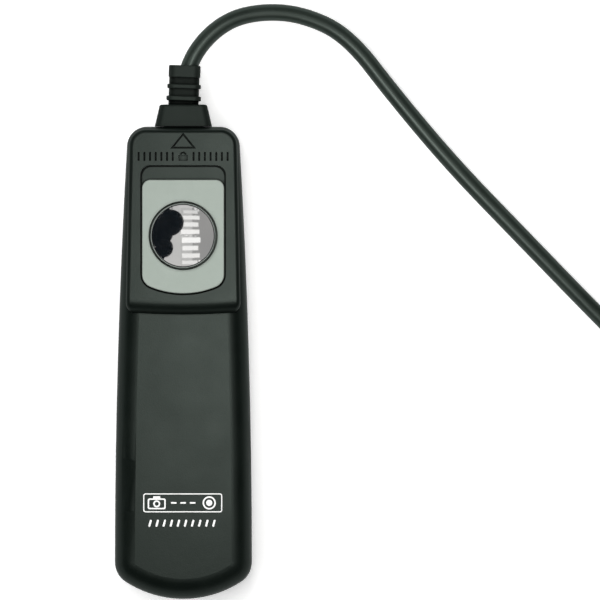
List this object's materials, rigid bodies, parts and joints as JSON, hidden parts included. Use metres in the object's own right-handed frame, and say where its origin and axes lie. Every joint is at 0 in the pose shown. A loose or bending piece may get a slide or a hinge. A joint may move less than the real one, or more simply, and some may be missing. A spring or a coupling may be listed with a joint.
{
  "type": "wired electronic camera shutter release",
  "caption": "Slim handset with a round press button on a sliding lock plate, a leaf-spring switch inside, a ribbed cord boot and a corded miniature jack plug.",
  "frame": {"origin": "middle of the handset's flat back, halfway along its 100 mm case", "axes": "+Z out of the button face, +Y along the handset towards the cord, +X to the right when the button faces the viewer and the cord is up"},
  "size_m": [0.1602, 0.129, 0.0199],
  "materials": {
    "shell_black": "satin black moulded plastic with a fine spark texture",
    "print_white": "pad-printed white ink",
    "plate_grey": "satin silver grey",
    "button_chrome": "bright plated",
    "plunger_white": "natural acetal",
    "spring_steel": "drawn spring wire",
    "stamped_steel": "stamped and tumbled",
    "screw_zinc": "zinc plated",
    "base_plastic": "moulded insulator",
    "spacer_fibre": "pressed fibre",
    "leaf_bronze": "rolled spring bronze",
    "contact_silver": "silver facing",
    "solder_tin": "bright solder",
    "wire_yellow": "soft insulation",
    "wire_red": "soft insulation",
    "wire_bare": "soft white insulation",
    "boot_rubber": "soft satin black",
    "cord_black": "satin black jacket",
    "tie_black": "flat black strap",
    "plug_black": "satin black overmould",
    "plug_nickel": "nickel plated brass",
    "plug_insulator_black": "gloss black bands"
  },
  "bodies": {
    "case": {"front_shell": "shell_black", "rear_shell": "shell_black", "case_screws": "screw_zinc", "release_print": "print_white", "lock_catch": "stamped_steel", "catch_screws": "screw_zinc", "switch_base": "base_plastic", "base_screws": "screw_zinc", "lower_spacer": "spacer_fibre", "upper_spacer": "spacer_fibre", "clamp_cover": "spacer_fibre", "shutter_leaf": "leaf_bronze", "focus_leaf_root": "leaf_bronze", "common_leaf_root": "leaf_bronze", "solder_joints": "solder_tin", "focus_wire": "wire_yellow", "shutter_wire": "wire_red", "common_wire": "wire_bare", "cord_boot": "boot_rubber", "cord_crimp_ring": "stamped_steel", "cord_run": "cord_black", "cord_coil": "cord_black", "cord_tie": "tie_black", "cord_tail": "cord_black", "plug_grip": "plug_black", "plug_sleeve": "plug_nickel", "plug_ring": "plug_nickel", "plug_insulator": "plug_insulator_black", "plug_tip": "plug_nickel"},
    "slider": {"slider_plate": "plate_grey", "slider_retainer": "stamped_steel"},
    "button": {"button_cap": "button_chrome", "button_plunger": "plunger_white", "button_spring": "spring_steel", "latch_clip": "stamped_steel"},
    "common_leaf": {"common_leaf_blade": "leaf_bronze", "common_contact": "contact_silver"},
    "focus_leaf": {"focus_leaf_blade": "leaf_bronze", "focus_contact": "contact_silver"}
  },
  "joints": [
    {"name": "lock_slide", "type": "slide", "parent": "case", "child": "slider", "axis": [0, 1, 0], "range_m": [0, 0.0026]},
    {"name": "button_press", "type": "slide", "parent": "slider", "child": "button", "axis": [0, 0, -1], "range_m": [0, 0.002], "stiffness_N_per_m": 700, "springref_m": -0.0015, "deforming": ["button_spring"]},
    {"name": "common_leaf_flex", "type": "hinge", "parent": "case", "child": "common_leaf", "pos_m": [0, 0.013, 0.00847], "axis": [-1, 0, 0], "range_deg": [0, 8]},
    {"name": "focus_leaf_flex", "type": "hinge", "parent": "case", "child": "focus_leaf", "pos_m": [0, 0.013, 0.00632], "axis": [-1, 0, 0], "range_deg": [0, 4]}
  ],
  "couplings": [
    {"joint": "common_leaf_flex", "follows": "button_press", "rad_per_m": 69.689},
    {"joint": "focus_leaf_flex", "follows": "button_press", "rad_per_m": 32.754}
  ]
}
